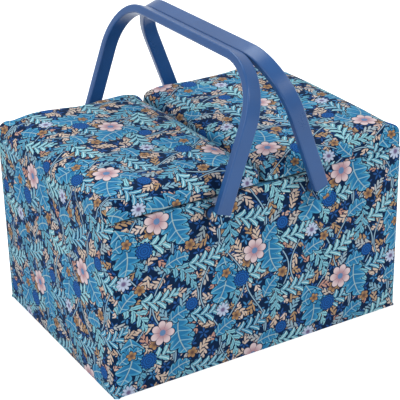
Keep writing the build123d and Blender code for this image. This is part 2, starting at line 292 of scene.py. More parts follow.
# %% [markdown]
# Four shapes make the whole print: a round blossom from a wave round a circle, loose
# leaflets in a star, a lobed leaf, and a spray of leaves on both sides of a stem. Each
# function answers one question, how many millimetres inside its outline a place is, so
# the same answer can cut the shape out and draw a dark rim round it.

# %% Motifs of the print
def blossom(x, y, radius, petals, notch):
    reach = hypot(x, y)
    lobe = abs((y.direction_from(x) * (petals / 2)).cos())
    edge = (lobe ** 0.6).times_plus(radius * notch, radius * (1 - notch))
    return edge - reach, reach, lobe


def leaflets(x, y, radius, count, width, gap):
    reach = hypot(x, y)
    share = (y.direction_from(x) * (count / TURN)).fract() - 0.5
    off = share * reach * (TURN / count)
    along = reach.times_plus(1 / (radius - gap), -gap / (radius - gap)).clamped()
    return (along * math.pi).sin() ** 0.8 * (width / 2) - abs(off)


def lobed_leaf(x, y, length, width, lobes):
    side = abs(y)
    held = (x - side * 0.45).times_plus(1 / length, 0.5).clamped()
    bulge = (held ** 0.75 * math.pi).sin() ** 0.7
    teeth = abs((held * (math.pi * lobes)).sin())
    half = (teeth ** 0.55).times_plus(0.34 * width, 0.12 * width)
    inside = abs(x) * -1.0 + length * 0.5
    return (bulge * half - side).min(inside), side, teeth


def spray(x, y, length, pitch, leaf, width, lean, curl, stem, lobed):
    side = abs(y)
    along = x.times_plus(1 / length, 0.5).clamped()
    swell = along.times_plus(0.86 * math.pi, 0.12 * math.pi).sin() ** 0.7
    by_turns = y.above(0.0) * 0.5
    slanted = (x - side * (side * -curl + lean)) * (1 / pitch) + by_turns
    off = (slanted.fract() - 0.5) * (pitch * 0.74)
    far = side * 1.35 / (swell * leaf + 0.01)
    out = far.clamped()
    half = (out ** 0.8 * math.pi).sin() ** 0.7 * width * 0.5
    if lobed:
        half = half * abs((out * (math.pi * 2.5)).sin()).times_plus(0.35, 0.75)
    inside = abs(x) * -1.0 + length / 2
    blades = (half - (far - 1.0).max(0.0) * 5.0 - abs(off)).min(inside)
    return blades, (side * -1.0 + stem).min(inside), off


print("motifs: blossom, leaflets, lobed leaf, spray")

# %% [markdown]
# The print is laid from the ground up. The repeat is 96 by 108 millimetres with a half
# drop, and the smaller motifs sit on a part of it. Their turns come from dice per cell,
# so no two neighbours match, and the dark rim keeps each motif clear of the next.

# %% The printed pattern
GROUND = "06203f"
REPEAT_X, REPEAT_Y = 96.0, 108.0
MILLIMETRES, WAVER = 1000.0, 1.6


def printed_colour(tree, vector):
    u, v = scaled(tree, vector, MILLIMETRES)
    bent_u = u + (v * (2 * TURN / REPEAT_Y)).sin() * WAVER
    bent_v = v + (u * (2 * TURN / REPEAT_X)).sin() * WAVER
    cloth = [linear(GROUND)]

    def lay(inside, colour, rim=0.8, soft=0.35, around=None):
        if rim:
            edge = (around or inside).ramp(-rim - 0.25, -rim + 0.25)
            cloth[0] = mixed(tree, edge, cloth[0], GROUND)
        cloth[0] = mixed(tree, inside.ramp(-soft / 2, soft / 2), cloth[0], colour)

    def spot(parts, shift_x, shift_y, swing=TURN, start=0.0, bow=0.0, across=u, rise=v):
        """The place in a motif's own cell, turned by the dice and read along a bowed line."""
        x, y, dice = lattice(across, rise, REPEAT_X / parts, REPEAT_Y / parts, shift_x, shift_y)
        angle = dice[0] * swing
        x, y = turned(x, y, angle + start if start else angle)
        return x, (y + x * x * bow if bow else y), dice

    # loose blue leaflets on the ground
    x, y, dice = spot(8, 2, 1, across=bent_u, rise=bent_v)
    tone = mixed(tree, dice[1].above(0.6), "24508c", "3f7eaf")
    lay(leaflets(x, y, 6.0, 5, 2.1, 0.8), tone, rim=0)

    # small sprigs in cream, rose and tan
    for parts, shift_x, shift_y, pale, warm in (
        (4, 6, 4, "d3c2b8", "b98d7e"),
        (4, 17, 19, "a98a68", "c9b7ab"),
        (5, 16, 15, "7fa9bd", "cbb6a4"),
    ):
        x, y, dice = spot(parts, shift_x, shift_y, bow=0.03, across=bent_u, rise=bent_v)
        blades, stem, _ = spray(x, y, 18.0, 5.6, 6.4, 2.9, 1.1, 0.0, 0.3, False)
        tone = mixed(tree, dice[1].ramp(0.2, 0.8), pale, warm)
        lay(blades.max(stem), tone, rim=0.7, soft=0.3, around=blades)

    # winding stems, two by two
    for way, shift in ((13.0, 0.0), (-11.0, 22.0)):
        swing = u + (v * (TURN / REPEAT_Y)).sin() * way
        x, _, _ = lattice(swing, v, REPEAT_X / 2, REPEAT_Y, shift)
        lay(abs(x) * -1.0 + 0.6, linear("8fb0c4"), rim=0.8)

    # pale and mid-blue sprays, with a rib in each leaf
    for shift_x, shift_y, start, bow, length, pale, deep, vein in (
        (0, 0, 0.75, 0.016, 42.0, "8cc4cd", "5b9db9", "2c6288"),
        (24, 22, -0.75, -0.016, 38.0, "4f93b5", "7fb9c6", "cfe3e0"),
    ):
        x, y, dice = spot(2, shift_x, shift_y, 0.9, start, bow)
        blades, stem, off = spray(x, y, length, 8.4, 13.0, 4.4, 1.45, 0.07, 0.5, True)
        rib = (abs(off) * -1.0 + 0.28).ramp(-0.2, 0.2)
        tone = mixed(tree, rib, mixed(tree, dice[1], deep, pale), vein)
        lay(blades.max(stem), tone, rim=0.95, around=blades)

    # lobed leaves
    for parts, shift_x, shift_y, start, bow, length, width, lobes in (
        (1, 30, 20, 1.2, 0.012, 46.0, 33.0, 4),
        (1, 80, 62, 0.5, -0.012, 42.0, 30.0, 4),
        (2, 8, 40, -0.9, 0.016, 24.0, 17.0, 3),
    ):
        x, y, _ = spot(parts, shift_x, shift_y, 0.9, start, bow)
        inside, side, teeth = lobed_leaf(x, y, length, width, lobes)
        tone = mixed(tree, (inside * (2.4 / width)).ramp(0.0, 0.4), "4698bf", "26719f")
        tone = mixed(tree, (teeth * -1.0 + 1.0).ramp(0.0, 0.02), "8ab6c6", tone)
        rib = (side * -1.0 + 0.45).ramp(-0.3, 0.3)
        lay(inside, mixed(tree, rib, tone, "9fb6b5"), rim=1.1)

    # many-petalled blue flowers
    for shift_x, shift_y, radius in ((14, 24, 8.0), (66, 34, 6.5)):
        inside, reach, lobe = blossom(*spot(1, shift_x, shift_y)[:2], radius, 13, 0.25)
        rings = (reach * (1 / 2.4) + lobe * 0.4).fract()
        lay(inside, mixed(tree, rings.ramp(0.1, 0.9), "1f60a6", "11356f"), rim=0.9)

    # tan blossoms, and a lilac daisy
    for shift_x, shift_y, radius, petals, low, high, heart, tip in (
        (8, 9, 5.6, 5, 0.1, 0.8, "5d4642", "a9845c"),
        (20, 60, 5.0, 5, 0.1, 0.8, "5d4642", "a9845c"),
        (30, 14, 4.6, 5, 0.1, 0.8, "5d4642", "a9845c"),
        (66, 84, 5.4, 5, 0.1, 0.8, "5d4642", "a9845c"),
        (34, 50, 7.0, 9, 0.15, 0.5, "6a5c80", "b4c0d6"),
    ):
        inside, reach, _ = blossom(*spot(1, shift_x, shift_y)[:2], radius, petals, 0.62)
        lay(inside, mixed(tree, (reach * (1 / radius)).ramp(low, high), heart, tip))

    # pink flowers
    inside, reach, lobe = blossom(*spot(1, 0, 0)[:2], 12.0, 7, 0.38)
    share = reach * (1 / 12.0)
    petals = mixed(tree, share.ramp(0.25, 0.85), "ae878f", "d5c1c3")
    petals = mixed(tree, lobe.ramp(0.02, 0.16), "5d4a68", petals)
    lay(inside, mixed(tree, share.ramp(0.2, 0.3), "5f80a8", petals), rim=1.0)
    return cloth[0]


# %% [markdown]
# Woven cloth needs two kinds of relief: the weave itself, under half a millimetre, and
# slow hollows where the wadding gives. Both go into bump, and the folds and corners are
# real geometry. The numbers that are the same all over sit on the shader's own sockets.

# %% Cloth finishes
def shader(name, roughness, colour=None, **sockets):
    """A material with one Principled shader, and that shader."""
    material, tree, output = shader_tree(name)
    surface = tree.nodes.new("ShaderNodeBsdfPrincipled")
    tree.links.new(surface.outputs[0], output.inputs["Surface"])
    surface.inputs["Roughness"].default_value = roughness
    if colour:
        surface.inputs["Base Color"].default_value = linear(colour)
    for socket, value in sockets.items():
        surface.inputs[socket.replace("_", " ")].default_value = value
    return material, tree, surface


def object_place(tree):
    return add_node(tree, "ShaderNodeTexCoord").outputs["Object"]


def noise(tree, place, scale, detail):
    node = add_node(tree, "ShaderNodeTexNoise", place, None, scale, detail)
    return Field(tree, node.outputs["Fac"])


def relief(tree, surface, height, distance):
    """Bump on the surface from a height field, in steps of distance metres."""
    bump = add_node(tree, "ShaderNodeBump", 1.0, distance, None, height.socket)
    tree.links.new(bump.outputs[0], surface.inputs["Normal"])


def make_print_finish(pitch=0.0007):
    """The print, with the over and under threads of a plain weave and slow hollows."""
    material, tree, surface = shader(
        "printed_cotton", 0.85, Specular_IOR_Level=0.06, Sheen_Weight=0.03
    )
    place = add_node(tree, "ShaderNodeUVMap", uv_map="print").outputs["UV"]
    tree.links.new(printed_colour(tree, place), surface.inputs["Base Color"])
    u, v = scaled(tree, place, TURN / pitch / 2)
    slow = noise(tree, place, 38.0, 2.0)
    relief(tree, surface, abs(u.sin() * v.sin()) * 0.12 + slow * 3.0, 0.0006)
    return material


def make_plain_cloth(name, colour, dark, pitch=0.0006, sheen=0.2, roughness=0.75):
    """One-colour woven cloth: thread-to-thread colour change, weave and slow hollows."""
    material, tree, surface = shader(name, roughness, Sheen_Weight=sheen, Sheen_Roughness=0.4)
    place = object_place(tree)
    slub = noise(tree, place, 420.0, 4.0)
    tone = mixed(tree, slub.ramp(0.3, 0.7), dark, colour)
    tree.links.new(tone, surface.inputs["Base Color"])
    x, y, z = [(part * (TURN / pitch / 2)).sin() for part in parted(tree, place, 3)]
    weave = abs(x * y) + abs(y * z) + abs(x * z)
    slow = noise(tree, place, 45.0, 2.0)
    relief(tree, surface, weave * 0.1 + slow * 1.5, 0.0006)
    return material


printed_cotton = make_print_finish()
lining_satin = make_plain_cloth("lining_satin", "1c336a", "142656", sheen=0.04, roughness=0.36)
print("print nodes:", len(printed_cotton.node_tree.nodes))

# %% [markdown]
# Every soft piece starts as a cube set to the size of the CAD solid it stands for, and is
# shaped in edit mode: edges bevelled, faces inset and pushed in, and planes cut through it
# so that the surface has enough points to be soft. These helpers do the picking.

# %% Modelling helpers
def make_active(piece):
    """Select one piece alone and make it the active one."""
    nothing_selected()
    piece.select_set(True)
    bpy.context.view_layer.objects.active = piece


def new_piece(name, add, **settings):
    """A primitive with a name of its own."""
    nothing_selected()
    add(**settings)
    piece = bpy.context.object
    piece.name = piece.data.name = name
    return piece


def new_block(name, low, high):
    """A cube between two corners, with its place in its mesh."""
    middle = [(a + b) / 2 for a, b in zip(low, high)]
    piece = new_piece(name, bpy.ops.mesh.primitive_cube_add, size=1, location=middle)
    piece.scale = [b - a for a, b in zip(low, high)]
    bpy.ops.object.transform_apply(location=True, rotation=False, scale=True)
    return piece


def edit(piece):
    make_active(piece)
    bpy.ops.object.mode_set(mode="EDIT")


def pick(piece, kind, test):
    """Select only the edges or the faces that pass a test."""
    bpy.context.tool_settings.mesh_select_mode = (False, kind == "edges", kind == "faces")
    mesh = bmesh.from_edit_mesh(piece.data)
    parts = getattr(mesh, kind)
    for part in parts:
        part.select_set(False)
    for part in [part for part in parts if test(part)]:
        part.select_set(True)
    bmesh.update_edit_mesh(piece.data)


def pick_faces(piece, test):
    """Select the faces whose middle and normal pass a test."""
    pick(piece, "faces", lambda face: test(face.calc_center_median(), face.normal))


def bevel_edges(piece, test, offset, segments):
    """Round the edges whose two ends pass a test."""
    pick(piece, "edges", lambda edge: test(edge.verts[0].co, edge.verts[1].co))
    bpy.ops.mesh.bevel(offset=offset, segments=segments)


def cut_across(axis, places):
    """Cut the whole piece with planes square to one axis."""
    for place in places:
        point, normal = [0.0, 0.0, 0.0], [0.0, 0.0, 0.0]
        point[axis], normal[axis] = place, 1.0
        bpy.ops.mesh.select_all(action="SELECT")
        bpy.ops.mesh.bisect(plane_co=point, plane_no=normal)


def steps_between(low, high, pitch):
    """Evenly spaced places strictly between two ends, about pitch apart."""
    count = max(2, round((high - low) / pitch))
    return [low + (high - low) * k / count for k in range(1, count)]


def finished(piece, angle=40):
    """Back to object mode, merged, facing outward and smooth over soft edges."""
    bpy.ops.object.mode_set(mode="EDIT")
    bpy.ops.mesh.select_all(action="SELECT")
    bpy.ops.mesh.remove_doubles(threshold=0.00002)
    bpy.ops.mesh.normals_make_consistent(inside=False)
    bpy.ops.object.mode_set(mode="OBJECT")
    bpy.ops.object.shade_smooth_by_angle(angle=math.radians(angle))


def move_points(piece, rule):
    """Give each point its place from a rule, as with a soft sculpting brush."""
    for vertex in piece.data.vertices:
        vertex.co = rule(vertex.co.copy())
    piece.data.update()


def add_modifier(piece, kind, **settings):
    modifier = piece.modifiers.new(kind.lower(), kind)
    for name, value in settings.items():
        setattr(modifier, name, value)
    make_active(piece)
    bpy.ops.object.modifier_apply(modifier=modifier.name)


def map_print(piece, rule):
    """Lay the print on a piece: a rule gives the place on the cloth for each corner."""
    layer = piece.data.uv_layers.get("print") or piece.data.uv_layers.new(name="print")
    mesh = piece.data
    for polygon in mesh.polygons:
        middle, normal = polygon.center, polygon.normal
        for corner in polygon.loop_indices:
            point = mesh.vertices[mesh.loops[corner].vertex_index].co
            layer.data[corner].uv = rule(point, middle, normal)


def dress(piece, body, slot_name, finish, *nodes):
    """Give a piece its finish, its body and the nodes it stands for; slot_name is not used."""
    piece.data.materials.clear()
    piece.data.materials.append(finish)
    if body:
        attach(piece, body)
    if nodes:
        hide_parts(*nodes)
    print(piece.name, "dressed:", len(piece.data.polygons), "faces")


HALF_X, HALF_Y, RIM_Z = 0.1556, 0.1131, 0.1688
LID_Z = 0.17065
print("case half sizes", HALF_X, HALF_Y, "rim at", RIM_Z)

# %% [markdown]
# Padded pieces get their soft shape from Blender's Cloth: air pressure swells the skin
# while a group of held points keeps it on its board. The result is applied, and no point
# may go further than a cap, so a pad never grows into its neighbour.

# %% Inflating a padded piece
STIFFNESS, SWELL_FRAMES = 15.0, 20


def inflate(piece, hold, pressure, cap):
    """Swell a piece with Cloth; hold(point) is 1 where the skin is glued down."""
    start = [vertex.co.copy() for vertex in piece.data.vertices]
    group = piece.vertex_groups.new(name="held")
    for vertex in piece.data.vertices:
        group.add([vertex.index], max(0.0, min(1.0, hold(vertex.co))), "REPLACE")
    cloth = piece.modifiers.new("cloth", "CLOTH")
    settings = cloth.settings
    settings.quality = 6
    settings.mass = 0.3
    settings.tension_stiffness = settings.compression_stiffness = STIFFNESS
    settings.shear_stiffness = STIFFNESS / 3
    settings.bending_stiffness = 0.5
    settings.use_pressure = True
    settings.uniform_pressure_force = pressure
    settings.vertex_group_mass = group.name
    settings.effector_weights.gravity = 0.0
    cloth.point_cache.frame_start, cloth.point_cache.frame_end = 1, SWELL_FRAMES
    for step in range(1, SWELL_FRAMES + 1):
        scene.frame_set(step)
    make_active(piece)
    bpy.ops.object.modifier_apply(modifier=cloth.name)
    scene.frame_set(1)
    furthest = 0.0
    for vertex, before in zip(piece.data.vertices, start):
        way = vertex.co - before
        share = cap / max(cap, way.length)
        vertex.co = before + way * share
        furthest = max(furthest, way.length * share)
    piece.vertex_groups.clear()
    piece.data.update()
    print(piece.name, "swollen by", round(furthest * 1000, 2), "mm")


def near_one(value, low, high):
    """0 below low, 1 above high, and a smooth step between."""
    share = max(0.0, min(1.0, (value - low) / (high - low)))
    return share * share * (3 - 2 * share)

# %% [markdown]
# The print runs round the walls in one strip, as on the real box, where one length of
# cloth is glued round the boards. So the place on the cloth is the distance walked round
# the case and the height. Over the rim and under the base it goes on by the way inward.

# %% Where the print lies on the walls
CORNER_REACH = 0.008


def walk_round(point, middle):
    """Distance round the case from the front left corner."""
    if middle.y < HALF_Y - CORNER_REACH and middle.x < -HALF_X + CORNER_REACH:
        return (point.x + HALF_X) - (point.y + HALF_Y)
    if middle.x > HALF_X - CORNER_REACH or middle.y < 0:
        if middle.y > HALF_Y - CORNER_REACH:
            return 2 * HALF_X + point.y + HALF_Y + HALF_X - point.x
        return point.x + HALF_X + point.y + HALF_Y
    return 4 * HALF_X + 2 * HALF_Y - HALF_X - point.x + HALF_Y - point.y


def wall_print(point, middle, normal):
    inward = max(0.0, min(HALF_X - abs(point.x), HALF_Y - abs(point.y)))
    height = point.z
    if middle.z > RIM_Z - 0.0005:
        height = RIM_Z + inward
    elif middle.z < 0.0015:
        height = point.z - inward
    elif inward > 0.004:
        height = 2 * RIM_Z + inward - point.z
    return walk_round(point, middle), height


print("corner to corner round the case:", round(4 * HALF_X + 4 * HALF_Y, 3))

# %% [markdown]
# The case cover is cloth pulled over wadding on boards. A hollow block with a turned-in
# rim and a hem underneath is bevelled and cut into small squares, and the squares between
# the corners are pushed out a little, as wadding does. Pivots and cloth hinges hold it.
# Its ends are drawn in beside the hinge line, so that an open lid doesn't cut into it. In
# the photograph the seam under the lids vanishes near the end corners and at the right of
# the front, so the rim is raised there, almost to the lid.

# %% Case cover
RIM_WIDTH, LIP_Z, HEM_WIDTH, CASE_FOOT = 0.0074, 0.147, 0.014, 0.0008
CASE_CORNER, CASE_PITCH, EDGE_ROUNDING = 0.007, 0.0065, 0.0018
PIVOT_X, PIVOT_Z = 0.0527, 0.156
HINGE_X, HINGE_Z, FOLD_SLOPE = 0.1549, 0.16975, 0.08
SEAM_SHIFT = 0.00088


def on_outline(a, b, height):
    """True for an edge of the outer outline at one height."""
    outside = all(
        abs(p.x) > HALF_X - 0.0005 or abs(p.y) > HALF_Y - 0.0005
        or (abs(p.x) > HALF_X - 0.0072 and abs(p.y) > HALF_Y - 0.0072)
        for p in (a, b)
    )
    return outside and abs(a.z - height) < 1e-5 and abs(b.z - height) < 1e-5


case_cover = new_block("case_cover", (-HALF_X, -HALF_Y, CASE_FOOT), (HALF_X, HALF_Y, RIM_Z))
edit(case_cover)
bevel_edges(case_cover, lambda a, b: abs(a.z - b.z) > 0.1, CASE_CORNER, 5)
pick_faces(case_cover, lambda middle, normal: normal.z > 0.9)
bpy.ops.mesh.inset(thickness=RIM_WIDTH)
bpy.ops.mesh.extrude_region_move(TRANSFORM_OT_translate={"value": (0, 0, LIP_Z - RIM_Z)})
bpy.ops.mesh.delete(type="FACE")
pick_faces(case_cover, lambda middle, normal: normal.z < -0.9)
bpy.ops.mesh.inset(thickness=HEM_WIDTH)
bpy.ops.mesh.delete(type="FACE")
bevel_edges(case_cover, lambda a, b: on_outline(a, b, RIM_Z), EDGE_ROUNDING, 4)
bevel_edges(case_cover, lambda a, b: on_outline(a, b, CASE_FOOT), 0.0012, 3)
for axis, half in ((0, HALF_X), (1, HALF_Y)):
    cut_across(axis, steps_between(-half + CASE_CORNER, half - CASE_CORNER, CASE_PITCH))
cut_across(2, steps_between(0.003, 0.1677, CASE_PITCH))
finished(case_cover)


def clear_of_hinge(point, proud=0.0):
    """Draw the ends in beside the hinge line, so an open lid lies flat against the case."""
    furthest = HINGE_X + FOLD_SLOPE * abs(point.z - HINGE_Z) + proud
    point.x = max(-furthest, min(furthest, point.x))
    return point


def seam_closing(point):
    """1 where lid and case nearly touch: round the end corners and at the right lid's front."""
    at_corner = 1 - near_one(HALF_X - abs(point.x), 0.010, 0.016)
    right_front = near_one(point.x, 0.060, 0.070) * (1 - near_one(point.y, -0.10, -0.09))
    return max(at_corner, right_front)


def raise_rim(point):
    point.z += SEAM_SHIFT * seam_closing(point) * near_one(point.z, 0.160, RIM_Z - 0.0005)
    return clear_of_hinge(point)


def held_to_case(point):
    """1 where the cloth is glued or clamped: corners, edges, lip, hem, pivots and hinges."""
    to_corner = max(HALF_X - abs(point.x), HALF_Y - abs(point.y))
    to_edge = min(RIM_Z - point.z, point.z - CASE_FOOT)
    inward = min(HALF_X - abs(point.x), HALF_Y - abs(point.y))
    to_pivot = math.hypot(abs(point.x) - PIVOT_X, point.z - PIVOT_Z)
    to_hinge = 0.162 - point.z
    free = near_one(to_corner, 0.006, 0.02) * near_one(to_edge, 0.003, 0.012)
    if abs(point.y) > 0.11:
        free *= near_one(to_pivot, 0.008, 0.02)
    else:
        free *= near_one(to_hinge, 0.0, 0.012)
    return 1.0 if inward > 0.0005 and to_corner > 0.0075 else 1.0 - free


inflate(case_cover, held_to_case, pressure=2.5, cap=0.0014)
move_points(case_cover, clear_of_hinge)
map_print(case_cover, wall_print)
move_points(case_cover, raise_rim)
dress(case_cover, "case", "printed_cloth", printed_cotton, "body_cover", "body_wadding")

# %% [markdown]
# Each lid is a crowned pad on a board, covered in the same print. Its free edge is soft:
# the padding thins out there, so the two lids meet in a shallow valley over a dark gap.
# The block gets its corners first, then its hollow underneath, the bevels and the cuts.
# Its foot comes down where the rim of the case is raised, and closes the seam.

# %% Lid covers
LID_TOP, GAP_HALF = 0.1888, 0.0006
LID_RIM_INSET, LID_CEILING = 0.0064, 0.1786
LID_CORNER, LID_PITCH, LID_FOOT, RISE_FROM = 0.0085, 0.0055, 0.006, 0.1715
SHOULDER, TOP_ROUNDING = {-1: 0.116, 1: 0.133}, {-1: 0.0085, 1: 0.006}
SIDES = ((-1, "left"), (1, "right"))
lid_middle = (HALF_X + GAP_HALF) / 2


def free_fall(across):
    """How far the pad thins out towards the lid's free edge."""
    return 0.0038 * max(0.0, 1 - (across - GAP_HALF) / 0.026) ** 2.2


def lid_rise(side, across, along):
    """How far the top stands above the flat block: crown, less the fall to the free edge."""
    crown = 0.0005 * (1 - ((across - lid_middle) / 0.08) ** 2) + 0.0006 * (1 - (along / 0.12) ** 2)
    shoulder = 0.0024 * math.exp(-(((across - SHOULDER[side]) / 0.028) ** 2))
    return crown + shoulder - free_fall(across)


def inside_lid(point):
    """How far a point lies inside the outline of its lid."""
    to_end = (HALF_X - GAP_HALF) / 2 - abs(abs(point.x) - lid_middle)
    return min(to_end, HALF_Y - abs(point.y))


def make_lid_cover(side, name):
    low_x, high_x = sorted((side * GAP_HALF, side * HALF_X))
    lid = new_block(name, (low_x, -HALF_Y, LID_Z), (high_x, HALF_Y, LID_TOP))
    edit(lid)
    bevel_edges(lid, lambda a, b: abs(a.z - b.z) > 0.01, LID_CORNER, 6)
    pick_faces(lid, lambda middle, normal: normal.z < -0.9)
    bpy.ops.mesh.inset(thickness=LID_RIM_INSET)
    bpy.ops.mesh.extrude_region_move(TRANSFORM_OT_translate={"value": (0, 0, LID_CEILING - LID_Z)})
    bevel_edges(lid, lambda a, b: min(a.z, b.z) > LID_TOP - 1e-5, TOP_ROUNDING[side], 6)
    bevel_edges(lid, lambda a, b: (
        max(a.z, b.z) < LID_Z + 1e-5 and max(inside_lid(a), inside_lid(b)) < 0.004
    ), EDGE_ROUNDING, 4)
    for axis, low, high in ((0, low_x, high_x), (1, -HALF_Y, HALF_Y)):
        cut_across(axis, steps_between(low + LID_CORNER, high - LID_CORNER, LID_PITCH))
    cut_across(2, [LID_Z + 0.005])
    finished(lid)

    def shape(point):
        share = max(0.0, min(1.0, (point.z - RISE_FROM) / (LID_TOP - RISE_FROM)))
        if inside_lid(point) <= 0.005 or point.z >= LID_CEILING + 1e-5:
            point.z += share * lid_rise(side, abs(point.x), point.y)
        if point.z < LID_Z + LID_FOOT:
            at_foot = 1 - near_one(point.z, LID_Z, LID_Z + LID_FOOT)
            point.z -= SEAM_SHIFT * seam_closing(point) * at_foot
        return point

    move_points(lid, shape)

    def held_to_board(point):
        """1 on the hollow and the foot, and on the end where the cloth hinge is."""
        if inside_lid(point) > 0.005 and point.z < LID_CEILING + 1e-4:
            return 1.0
        foot = near_one(point.z - LID_Z, 0.002, LID_FOOT)
        if abs(point.x) > HALF_X - 0.002:
            foot *= near_one(point.z, 0.176, 0.181)
        return 1.0 - foot

    inflate(lid, held_to_board, pressure=3.0, cap=0.0022)
    add_modifier(lid, "SUBSURF", levels=1, render_levels=1)

    def keep_apart(point):
        point.x = side * max(side * point.x, GAP_HALF * 0.7)
        return clear_of_hinge(point)

    move_points(lid, keep_apart)

    def lid_print(point, middle, normal):
        """The end wall's print goes on up the lid's end, over its top and down its sides."""
        inward = HALF_X - side * point.x
        top = LID_TOP + lid_rise(side, abs(point.x), point.y)
        over = LID_TOP + inward + free_fall(abs(point.x))
        fall = max(0.0, top - point.z)
        u, v = point.y + HALF_Y, over
        if normal.z < -0.7:
            v = 2 * LID_Z - point.z - inward
        elif abs(normal.y) > abs(normal.x):
            u += math.copysign(fall, normal.y)
        else:
            v += math.copysign(fall, lid_middle - abs(point.x))
        return (2 * HALF_X + u if side > 0 else -u), v

    map_print(lid, lid_print)
    return lid


for side, name in SIDES:
    cover = make_lid_cover(side, f"{name}_lid_top")
    dress(
        cover, f"lid_{name}", "printed_cloth", printed_cotton,
        f"{name}_lid_cover", f"{name}_lid_pad", f"{name}_lid_wadding",
    )

# %% [markdown]
# The cloth hinge is the same print running from the end wall on to the lid with no seam.
# It is a strip of its own here, laid over the end where the real hinge bends; it belongs to
# neither body and stays where it is laid.

# %% Cloth hinges
STRIP_HALF, STRIP_LOW, STRIP_HIGH, STRIP_PITCH = 0.0999, 0.1636, 0.1759, 0.0006


def make_hinge_strip(side, name):
    outer, inner = side * (HALF_X + 0.00012), side * (HALF_X - 0.0007)
    low_x, high_x = sorted((outer, inner))
    strip = new_block(name, (low_x, -STRIP_HALF, STRIP_LOW), (high_x, STRIP_HALF, STRIP_HIGH))
    edit(strip)
    cut_across(1, steps_between(-STRIP_HALF, STRIP_HALF, LID_PITCH))
    cut_across(2, steps_between(STRIP_LOW, STRIP_HIGH, STRIP_PITCH))
    finished(strip)
    move_points(strip, lambda point: clear_of_hinge(point, proud=0.0002))
    map_print(strip, lambda point, middle, normal: (
        (2 * HALF_X + point.y + HALF_Y) if side > 0 else -(point.y + HALF_Y), point.z
    ))
    return strip


for side, name in SIDES:
    strip = make_hinge_strip(side, f"{name}_hinge_strip")
    dress(strip, None, "printed_cloth", printed_cotton, f"{name}_hinge_cloth")
    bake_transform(strip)
    print(strip.name, "bends between case and lid")

# %% [markdown]
# The handles keep their CAD shape. Their finish is moulded plastic with a satin skin: a
# fine grain in the mould and a little unevenness in gloss. The tray and the pivots' nylon
# get the same finish in their own colours. The lower ends of the handles are covered in
# the print, so they are small padded caps.

# %% Moulded plastic and end caps
def make_moulded(name, colour, dark, roughness, grain=900.0, gloss=0.5, depth=0.00004):
    material, tree, surface = shader(name, roughness, Specular_IOR_Level=gloss)
    place = object_place(tree)
    cloud = noise(tree, place, 26.0, 3.0)
    tree.links.new(mixed(tree, cloud.ramp(0.25, 0.75), dark, colour), surface.inputs["Base Color"])
    skin = noise(tree, place, grain, 2.0)
    level = (cloud * 0.10 + skin * 0.06).times_plus(1.0, roughness - 0.08)
    tree.links.new(level.socket, surface.inputs["Roughness"])
    relief(tree, surface, skin, depth)
    return material


handle_plastic = make_moulded("blue_handle_plastic", "235088", "1f497e", 0.3, gloss=0.36)
tray_plastic = make_moulded("tray_plastic", "c9d6e8", "bccbe0", 0.35, grain=600.0)
nylon = make_moulded("dark_blue_nylon", "1c2336", "151b2a", 0.55)


def finish_node(node, material):
    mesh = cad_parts[node].data
    mesh.materials.clear()
    mesh.materials.append(material)


for name in ("left_handle", "right_handle"):
    finish_node(name, handle_plastic)
finish_node("tray", tray_plastic)

HANDLE_LEAN = math.radians(19.74)
CAP_HALF, CAP_TOP, CAP_FOOT = 0.0077, 0.0042, -0.0082
CAP_BACK, CAP_FACE = 0.1224, 0.1310


def make_end_cap(side, side_y, name):
    face_y = side_y * CAP_FACE
    low_y, high_y = sorted((side_y * CAP_BACK, face_y))
    cap = new_block(name, (-CAP_HALF, low_y, CAP_FOOT), (CAP_HALF, high_y, CAP_TOP))
    edit(cap)
    bevel_edges(cap, lambda a, b: (
        max(a.z, b.z) < CAP_FOOT + 1e-5 and abs(a.y - b.y) > 0.005
    ), 0.005, 5)
    bevel_edges(cap, lambda a, b: (
        abs(a.y - face_y) < 1e-5 and abs(b.y - face_y) < 1e-5 and min(a.z, b.z) < CAP_TOP - 1e-5
    ), 0.0016, 4)
    finished(cap)
    map_print(cap, lambda point, middle, normal: (
        point.x + side * PIVOT_X + HALF_X + abs(point.y) - 0.13, point.z + PIVOT_Z
    ))
    cap.rotation_euler.y = -side * HANDLE_LEAN
    cap.location = (side * PIVOT_X, 0, PIVOT_Z)
    make_active(cap)
    bpy.ops.object.transform_apply(location=True, rotation=True, scale=True)
    return cap


for side, name in SIDES:
    for side_y, face in ((-1, "front"), (1, "back")):
        cap = make_end_cap(side, side_y, f"{name}_{face}_cap_cover")
        node = f"{name}_handle_{face}_cap"
        dress(cap, f"handle_{name}", "printed_cloth", printed_cotton, node)
        low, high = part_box(node)
        print(cap.name, "off its node by", [
            round((a - b) * 1000, 2) for a, b in zip(cap.bound_box[0], low)
        ])

# %% [markdown]
# The inside of such a box is plain satin over thin wadding, glued to card. Each panel is
# a block with a rounded inner edge. Its back is held to the board, and its face swells
# under pressure.

# %% Lining panels
WALL_X, WALL_Y, LINER, LEDGE_Z = 0.149, 0.1065, 0.005, 0.147
INNER_X, INNER_Y = WALL_X - LINER, WALL_Y - LINER
FLOOR_LOW, FLOOR_HIGH = 0.0058, 0.0088
PANEL_PITCH = 0.009


def make_panel(name, low, high, face, at_edge, rounding=0.0018, cap=0.0008):
    """A padded panel. face is the axis and side that swells, such as (1, 1) for +Y."""
    axis, side = face
    panel = new_block(name, low, high)
    edit(panel)
    bevel_edges(panel, lambda a, b: at_edge((a + b) / 2), rounding, 4)
    for across in range(3):
        if high[across] - low[across] > 0.02:
            ends = (low[across] + rounding, high[across] - rounding)
            cut_across(across, steps_between(*ends, PANEL_PITCH))
    finished(panel)
    surface = high[axis] if side > 0 else low[axis]
    inflate(
        panel, lambda point: 0.0 if abs(point[axis] - surface) < rounding * 0.6 else 1.0,
        pressure=3.0, cap=cap,
    )
    return panel


